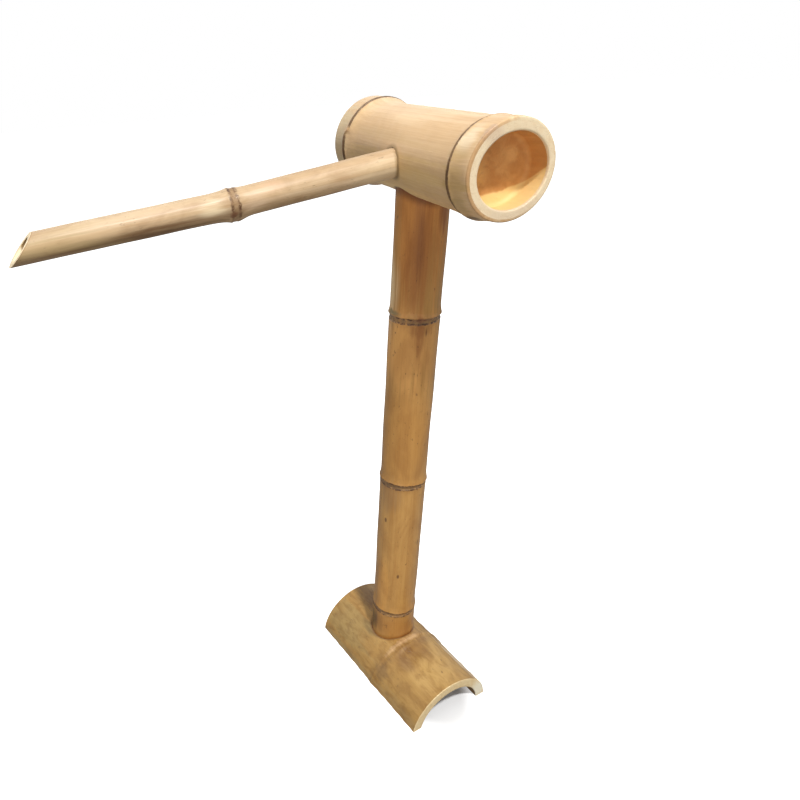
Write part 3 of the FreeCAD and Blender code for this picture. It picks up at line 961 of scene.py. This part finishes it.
class BAMBOO_OT_spout(bpy.types.Operator):
    """Make the spout, a slender culm with one node and a slant-cut tip"""
    bl_idname = "bamboo.make_spout"
    bl_label = "Spout"

    def execute(self, context):
        settings = context.scene.bamboo_spout
        root, tip, node_place = settings.root_radius, settings.tip_radius, settings.node
        start, bend = spout_start(settings), 7 * MM

        def line(places):
            """The spout's line, which bends a little at its node."""
            turned = ease(node_place - bend, node_place + bend, places)
            drop = settings.root_drop + (settings.tip_drop - settings.root_drop) * turned
            along = np.stack([-np.cos(drop), np.zeros_like(drop), -np.sin(drop)], axis=1)
            up = np.stack([-np.sin(drop), np.zeros_like(drop), np.cos(drop)], axis=1)
            root_part, tip_part = np.minimum(places, node_place), np.maximum(places - node_place, 0)
            points = np.array(start)[None] + root_part[:, None] * np.array(dropping(settings.root_drop))
            points = points + tip_part[:, None] * np.array(dropping(settings.tip_drop))
            return points, up, np.cross(along, up)

        stations = [
            (settings.root_start, root), (node_place - 6 * MM, root - 0.1 * MM), (node_place, root - 0.1 * MM),
            (node_place + 8 * MM, tip + 0.1 * MM), (settings.lower_lip + 10 * MM, tip)]
        # Angles are counted from the spout's top, towards the far cup.
        node = node_at(node_place, (0.8, 1.4, 3.4, 5.5, 1.9, 0.35, 0.5, 0.6), 2.0, 1.0, 0.2, -90 * DEGREE)
        bud = swelling_at(node_place - 3.5 * MM, math.pi, 1.3, 5, 4.5)
        culm = Culm(line, stations, [node], [bud], oval=0.006, oval_phase=1.2, ripple=0.15 * MM, around=128)
        slope, sideways = (settings.upper_edge - settings.lower_lip) / (2 * tip), 0.08
        middle = (settings.upper_edge + settings.lower_lip) / 2
        slant_start = settings.upper_edge - 22 * MM

        def slanted(ring):
            """Shift a ring near the tip so that the last ones lie in the plane of the slant cut."""
            share = (ring.places - slant_start) / (middle - slant_start)
            plane = middle + ring.radii * (slope * np.cos(ring.angles) + sideways * np.sin(ring.angles))
            moved = np.where(share > 0, slant_start + (plane - slant_start) * share, ring.places)
            return ring._replace(places=moved, end_offset=max(0.0, middle - float(np.mean(ring.places))))

        skin = [slanted(ring) for ring in culm.skin_rings(settings.root_start, middle - 0.4 * MM)]
        bore = settings.bore_radius
        lip = [
            (middle - 0.15 * MM, tip - 0.1 * MM), (middle, tip - 0.35 * MM), (middle, tip - 0.9 * MM),
            (middle, bore + 0.9 * MM), (middle - 0.05 * MM, bore + 0.3 * MM), (middle - 0.4 * MM, bore)]
        face = [slanted(culm.plain_ring(place, radius, CUT)) for place, radius in lip]
        inner = [slanted(ring) for ring in culm.cup_rings(middle - 0.4 * MM, node_place + HALF_NODE_WALL, bore, 1)]
        root_face = [culm.plain_ring(settings.root_start, share * root, CUT) for share in (0.0, 0.6)]
        patches = patches_from(
            0,
            # Painted shade along the underside of both halves.
            (205, -144, 12, 110, (0.21, 0.115, 0.045), 0.95),
            (100, -150, 9, 45, (0.40, 0.25, 0.115), 0.9),
            # Painted highlight: paler on the root's side towards the near cup.
            (38, -96, 12, 24, (0.77, 0.60, 0.37), 0.5),
            (110, -40, 9, 14, (0.80, 0.54, 0.34), 0.5),
            # Painted shade down the lower side of the tip half, darkest underneath near the tip.
            (250, -112, 14, 56, (0.47, 0.335, 0.155), 0.7),
            (258, -152, 8, 40, (0.30, 0.19, 0.10), 0.8),
            (150, -70, 8, 12, (0.92, 0.76, 0.50), 0.7),
            (122, -85, 8, 10, (0.66, 0.47, 0.30), 0.5))
        patches += patches_from(node_place, (0, -30, 10, 3, (0.40, 0.25, 0.12), 0.6))
        patches += patches_from(
            0, (225, -128, 1.3, 30, (0.22, 0.12, 0.05), 0.6), (180, -134, 1.5, 26, (0.20, 0.11, 0.045), 0.7))
        marks = patches_from(0, (137, -118, 2.6, 3.4, (0.18, 0.075, 0.03), 0.8))
        head_radius = context.scene.bamboo_head.middle_radius
        # Painted shade on the spout's root where it goes into the head.
        contact_shades = [ContactShade(HEAD_CENTRE, HEAD_WAY, head_radius, 2.4 * MM, (0.36, 0.23, 0.10), 0.85, (-0.3, -1.0, 0.0))]
        materials = [
            skin_material(
                "spout_skin", settings, (0.52, 0.38, 0.26), (0.11, 0.05, 0.02), (0.30, 0.18, 0.085), root, patches,
                (-1.9 * MM, 1.9 * MM, 1.5 * MM), contact_shades, weakest=0.1, waver=2.0 * MM, darkest_side=-50 * DEGREE,
                faintest=0.25, mottles=75.0, streaks=0.6, blotch=0.42, fleck=0.4, halo=0.2, halo_width=7 * MM,
                edge_least=0.2, coat=0.4, coat_roughness=0.42, marks=marks),
            cut_material("spout_cut", (0.88, 0.74, 0.50), (0.80, 0.62, 0.38), (0.55, 0.36, 0.18)),
            inside_material(
                "spout_inside", (0.36, 0.24, 0.11), (0.27, 0.165, 0.07),
                # Painted light: the bore's wall paler just inside the slant-cut mouth.
                wear_and_painted_light=((0.0, 0.0, -1.0), -middle + 1 * MM, (0.88, 0.73, 0.49)))]
        spout = mesh_of("bamboo_spout", culm, root_face + skin + face + inner, materials)
        _, corner, mouth = tube_way(context.scene)
        tube_radius = context.scene.bamboo_tube.radius
        drilled(spout, materials[INSIDE], (tube_radius, corner, corner.lerp(mouth, SPOUT_DRILLED)))
        take_place_of(spout, "spout")
        return {"FINISHED"}


class BAMBOO_OT_foot(bpy.types.Operator):
    """Make the foot, half a thick culm lying on its split edges"""
    bl_idname = "bamboo.make_foot"
    bl_label = "Foot"

    def execute(self, context):
        settings = context.scene.bamboo_foot
        post = context.scene.bamboo_post
        far, near = -settings.far_reach, settings.near_reach
        outer, inner = settings.radius, settings.radius - settings.wall
        axis_height = settings.height - outer
        node = node_at(settings.node, (1.0, 0.7, 5, 7, 2.2, 0.3, 0.8, 1.0), 0.4, 3.0, 0.3, -40 * DEGREE)
        bud = swelling_at(settings.node - 1 * MM, 14 * DEGREE, 1.2, 6, 8)
        line = straight_line(Vector((0, 0, axis_height)), foot_way(settings), UP)
        end_radius = outer - 0.2 * MM
        stations = [(far, end_radius), (settings.node, outer), (near, end_radius)]
        culm = Culm(line, stations, [node], [bud], ripple=0.5 * MM)
        shares = np.linspace(-1, 1, 161)

        def arc(radius):
            """Angles of one ring over the arch, down to the floor on both sides."""
            return shares * math.acos(-axis_height / radius)

        def arched(place, radius, region):
            return culm.plain_ring(place, radius, region, arc(radius))

        soft = 0.7 * MM
        places = culm.skin_places(far + soft, near - soft, 2.5 * MM)
        skin = []
        for place in places:
            ring = culm.skin_ring(place, arc(outer))
            skin.append(culm.skin_ring(place, shares * np.arccos(-axis_height / ring.radii)))
        faces = {}
        for end, outward in ((near, 1), (far, -1)):
            rows = []
            for back, aside in quarter_round(0.33, 0.66, 1.0):
                rows.append((end - outward * soft * back, end_radius - soft * aside))
            for share in (0.2, 0.4, 0.6, 0.8, 1.0):
                rows.append((end, outer - soft + (inner + 2 * soft - outer) * share))
            rows += [(end - outward * 0.3 * soft, inner + 0.3 * soft), (end - outward * soft, inner)]
            faces[end] = [arched(place, radius, CUT) for place, radius in rows]
        hollow = []
        for place in places[::-1][1:-1]:
            stub = 2.6 * MM * math.exp(-((place - settings.node) / (1.6 * MM)) ** 2)
            hollow.append(arched(place, inner - stub, INSIDE))
        patches = patches_from(
            0,
            (39, 12, 30, 16, (0.34, 0.18, 0.05), 0.85),
            (33, -20, 9, 7, (0.28, 0.145, 0.045), 0.7),
            (35, 14, 6, 4, (0.26, 0.13, 0.04), 0.6),
            (44, 24, 9, 12, (0.36, 0.21, 0.08), 0.6),
            (30, 54, 16, 10, (0.30, 0.175, 0.065), 0.8),
            (62, 74, 10, 40, (0.44, 0.28, 0.11), 0.6),
            (66, 8, 26, 22, (0.64, 0.41, 0.145), 0.6),
            (52, -26, 14, 40, (0.62, 0.39, 0.13), 0.7),
            # Painted sheen along the right flank of the near half.
            (60, -48, 12, 46, (0.98, 0.82, 0.58), 0.85),
            # Painted shade on the crest just behind the post, on its left.
            (-9, 28, 7, 14, (0.10, 0.055, 0.022), 0.95),
            (-30, 45, 26, 50, (0.42, 0.285, 0.105), 0.75),
            (-28, 84, 12, 60, (0.40, 0.29, 0.13), 0.6),
            # Painted highlight along the crest of the node's ridge.
            (24, 8, 30, 3.5, (0.74, 0.48, 0.24), 0.7),
            # Painted shadow of the post, running back over the far half of the crest.
            (-34, -2, 12, 38, (0.29, 0.165, 0.065), 0.85))
        pale = patches_from(near, (0, -66, 17, 6, (1.0, 0.93, 0.74), 0.85))
        # Painted shade on the foot round the post.
        contact_shades = [ContactShade(Vector(), UP, post.low_radius, 2.5 * MM, (0.22, 0.11, 0.04), 0.8)]
        materials = [
            skin_material(
                "foot_skin", settings, (0.50, 0.38, 0.27), (0.16, 0.085, 0.04), (0.30, 0.19, 0.09), outer, patches,
                (0.0, 0.0, 0.5 * MM), contact_shades, weakest=0.0, faintest=0.0, darkest_side=-140 * DEGREE, mottles=150.0,
                streaks=0.5, blotch=0.5, fleck=0.8, halo=0.25, halo_width=10 * MM, edge_least=0.0, coat=0.4),
            cut_material(
                "foot_cut", (0.86, 0.67, 0.38), (0.78, 0.57, 0.29), (0.55, 0.36, 0.15), outer - 5 * MM, pale),
            inside_material("foot_inside", (0.30, 0.19, 0.09), (0.20, 0.12, 0.05))]
        rings = skin + faces[near] + hollow + faces[far][::-1]
        foot = mesh_of("bamboo_foot", culm, rings, materials, split=True)
        # The hole for the post runs from under the floor to above the crest.
        drilled(foot, materials[CUT], (post.low_radius, -10 * MM * UP, 60 * MM * UP))
        take_place_of(foot, "foot")
        return {"FINISHED"}


class BAMBOO_OT_tube(bpy.types.Operator):
    """Finish the clear water tube that runs inside the culms"""
    bl_idname = "bamboo.finish_tube"
    bl_label = "Water tube"

    def execute(self, context):
        settings = context.scene.bamboo_tube
        material, sketch, shader = lacquered("clear_tube", 0.0, 0.1)
        haze = sketch.noise(sketch.node("ShaderNodeTexCoord").outputs["Object"], 90.0, 3.0, 0.6)
        colour = sketch.blend(sketch.remap(haze, 0.3, 0.7), tuple(settings.tint), (0.78, 0.84, 0.78))
        sketch.put(shader.inputs["Base Color"], colour)
        sketch.put(shader.inputs["Roughness"], sketch.remap(haze, 0.3, 0.7, 0.12, 0.24))
        shader.inputs["Transmission Weight"].default_value = 0.75
        shader.inputs["IOR"].default_value = 1.42
        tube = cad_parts["water_tube"]
        tube.data.materials.clear()
        tube.data.materials.append(material)
        return {"FINISHED"}


class BAMBOO_OT_stage(bpy.types.Operator):
    """Set out the floor, the light and the camera"""
    bl_idname = "bamboo.set_stage"
    bl_label = "Stage"

    def execute(self, context):
        settings = context.scene.bamboo_stage
        self.floor(context.scene, settings)
        self.world(context.scene)
        self.lamp("key", (-0.07, -0.97, 2.1), (0, 0, 0.4), 33.0, 0.16)
        self.lamp("overhead", (-0.35, -0.25, 1.9), (0, 0, 0.2), 4.0, 1.3)
        self.lamp("fill", (-1.1, -1.5, 0.3), (0, 0, 0.25), 10.0, 1.2, glossy=False)
        self.camera(context.scene, settings)
        context.scene.view_settings.view_transform = "Standard"
        return {"FINISHED"}

    def floor(self, scene, settings):
        """Pale floor, lit from beneath like a light table, that throws little light up under the culms."""
        mesh = bpy.data.meshes.new("floor")
        reach = 6.0
        corners = [(-reach, -reach, 0), (reach, -reach, 0), (reach, reach, 0), (-reach, reach, 0)]
        mesh.from_pydata(corners, [], [(0, 1, 2, 3)])
        floor = linked("floor", mesh)
        material, sketch, shader = lacquered("floor_paper", 0.0, 0.3)
        seen = sketch.node("ShaderNodeLightPath").outputs["Is Camera Ray"]
        sketch.put(shader.inputs["Base Color"], sketch.blend(seen, tuple(settings.bounce), tuple(settings.floor)))
        sketch.put(shader.inputs["Emission Color"], sketch.blend(seen, (0.0, 0.0, 0.0), (1.0, 1.0, 1.0)))
        # The glow stops short of the arch: it fades in this far from a point ahead of the post.
        foot, ahead = scene.bamboo_foot, 30 * MM
        shade_end, shade_edge = 30 * MM, 50 * MM
        under_arch = sketch.node("ShaderNodeMapping", vector_type="TEXTURE")
        sketch.put(under_arch.inputs["Vector"], sketch.node("ShaderNodeTexCoord").outputs["Object"])
        sketch.put(under_arch.inputs["Location"], (ahead * math.sin(foot.turn), -ahead * math.cos(foot.turn), 0))
        sketch.put(under_arch.inputs["Rotation"], (0, 0, foot.turn))
        sketch.put(under_arch.inputs["Scale"], (1, 2, 1))
        away = sketch.vector("LENGTH", under_arch.outputs["Vector"], output="Value")
        sketch.put(shader.inputs["Emission Strength"], sketch.remap(away, shade_end, shade_edge, 0.0, 0.95))
        shader.inputs["Roughness"].default_value = 0.9
        shader.inputs["Specular IOR Level"].default_value = 0.0
        mesh.materials.append(material)

    def world(self, scene):
        """White surroundings that light the culms less than they show."""
        world = bpy.data.worlds.new("studio")
        world.use_nodes = True
        sketch = Sketch(world.node_tree)
        lighting = sketch.node("ShaderNodeLightPath").outputs["Is Diffuse Ray"]
        background = world.node_tree.nodes["Background"]
        background.inputs["Color"].default_value = (1.0, 1.0, 1.0, 1.0)
        sketch.put(background.inputs["Strength"], sketch.remap(lighting, 0.0, 1.0, 1.0, 0.36))
        scene.world = world

    def camera(self, scene, settings):
        """Camera as solved from the photo."""
        lens = bpy.data.cameras.new("camera")
        lens.sensor_width = SENSOR_MM
        lens.lens = settings.focal_pixels * SENSOR_MM / FRAME_PIXELS
        lens.shift_x = (FRAME_PIXELS / 2 - settings.centre_x) / FRAME_PIXELS
        lens.shift_y = (settings.centre_y - FRAME_PIXELS / 2) / FRAME_PIXELS
        lens.clip_start = 0.01
        camera = linked("camera", lens)
        forward = Vector((
            math.sin(settings.yaw) * math.cos(settings.pitch), math.cos(settings.yaw) * math.cos(settings.pitch),
            math.sin(settings.pitch)))
        level = Vector((math.cos(settings.yaw), -math.sin(settings.yaw), 0))
        upward = level.cross(forward)
        right = level * math.cos(settings.roll) + upward * math.sin(settings.roll)
        up = upward * math.cos(settings.roll) - level * math.sin(settings.roll)
        turned = Matrix((right, up, -forward)).transposed().to_4x4()
        camera.matrix_world = Matrix.Translation(Vector(settings.place)) @ turned
        scene.camera = camera

    def lamp(self, name, place, target, power, size, glossy=True):
        """Round area light at a place, turned to its target."""
        light = bpy.data.lights.new(name, "AREA")
        light.energy = power
        light.size = size
        light.shape = "DISK"
        holder = linked(name, light)
        holder.location = place
        holder.visible_glossy = glossy
        holder.rotation_euler = (Vector(target) - Vector(place)).to_track_quat("-Z", "Y").to_euler()


OPERATORS = (
    BAMBOO_OT_foot, BAMBOO_OT_post, BAMBOO_OT_head, BAMBOO_OT_spout, BAMBOO_OT_tube, BAMBOO_OT_stage)
SETTINGS = {
    "bamboo_foot": FootSettings, "bamboo_post": PostSettings, "bamboo_head": HeadSettings,
    "bamboo_spout": SpoutSettings, "bamboo_tube": TubeSettings, "bamboo_stage": StageSettings}


class BAMBOO_PT_panel(bpy.types.Panel):
    """Lists the pieces of the water spout and their settings"""
    bl_idname = "BAMBOO_PT_panel"
    bl_label = "Bamboo water spout"
    bl_space_type = "VIEW_3D"
    bl_region_type = "UI"
    bl_category = "Bamboo"

    def draw(self, context):
        for operator, name in zip(OPERATORS, SETTINGS):
            column = self.layout.box().column()
            column.operator(operator.bl_idname)
            group = getattr(context.scene, name)
            for key in group.__annotations__:
                column.prop(group, key)


def register():
    for made in (*SETTINGS.values(), *OPERATORS, BAMBOO_PT_panel):
        bpy.utils.register_class(made)
    for name, made in SETTINGS.items():
        setattr(bpy.types.Scene, name, bpy.props.PointerProperty(type=made))


def unregister():
    for name in SETTINGS:
        delattr(bpy.types.Scene, name)
    for made in reversed((*SETTINGS.values(), *OPERATORS, BAMBOO_PT_panel)):
        bpy.utils.unregister_class(made)


def main():
    register()
    bpy.ops.bamboo.make_foot()
    bpy.ops.bamboo.make_post()
    bpy.ops.bamboo.make_head()
    bpy.ops.bamboo.make_spout()
    bpy.ops.bamboo.finish_tube()
    bpy.ops.bamboo.set_stage()


if __name__ == "__main__":
    main()
